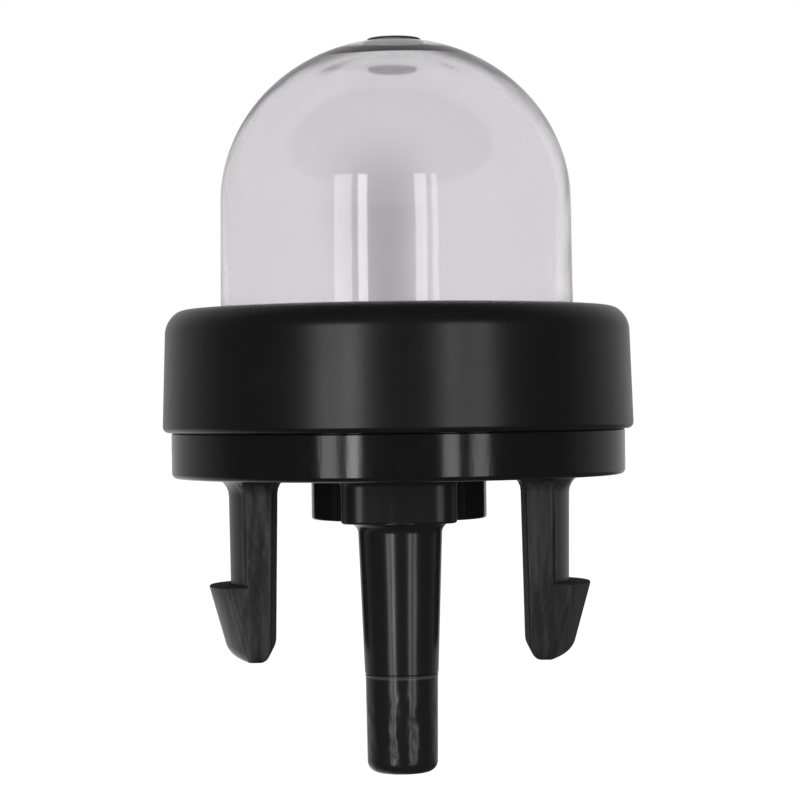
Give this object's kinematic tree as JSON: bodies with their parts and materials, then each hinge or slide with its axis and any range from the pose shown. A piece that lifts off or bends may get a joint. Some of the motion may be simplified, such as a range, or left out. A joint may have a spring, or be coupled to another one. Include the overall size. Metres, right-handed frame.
{
  "type": "primer bulb",
  "caption": "Snap-in fuel primer bulb: clear flexible dome in a black retaining collar, on a base with barbed snap legs, a long and a short hose nipple, and a check valve inside.",
  "frame": {"origin": "on the dome's axis, in the plane of the base ring's underside, which seats on the panel", "axes": "+Z along the dome's axis towards the dome, +X through the right snap leg, the long nipple towards -Y"},
  "size_m": [0.022, 0.022, 0.0338],
  "materials": {
    "black_base_plastic": "moulded black nylon, semi-gloss, faint flow marks on the flat leg faces",
    "black_collar_plastic": "moulded black nylon, satin",
    "clear_bulb_plastic": "clear flexible polyurethane with a faint grey tint, glossy",
    "valve_rubber": "moulded black fuel-proof rubber, matt"
  },
  "bodies": {
    "root": {"base": "black_base_plastic", "check_valve": "valve_rubber", "bulb": "clear_bulb_plastic", "retaining_collar": "black_collar_plastic"}
  },
  "joints": []
}
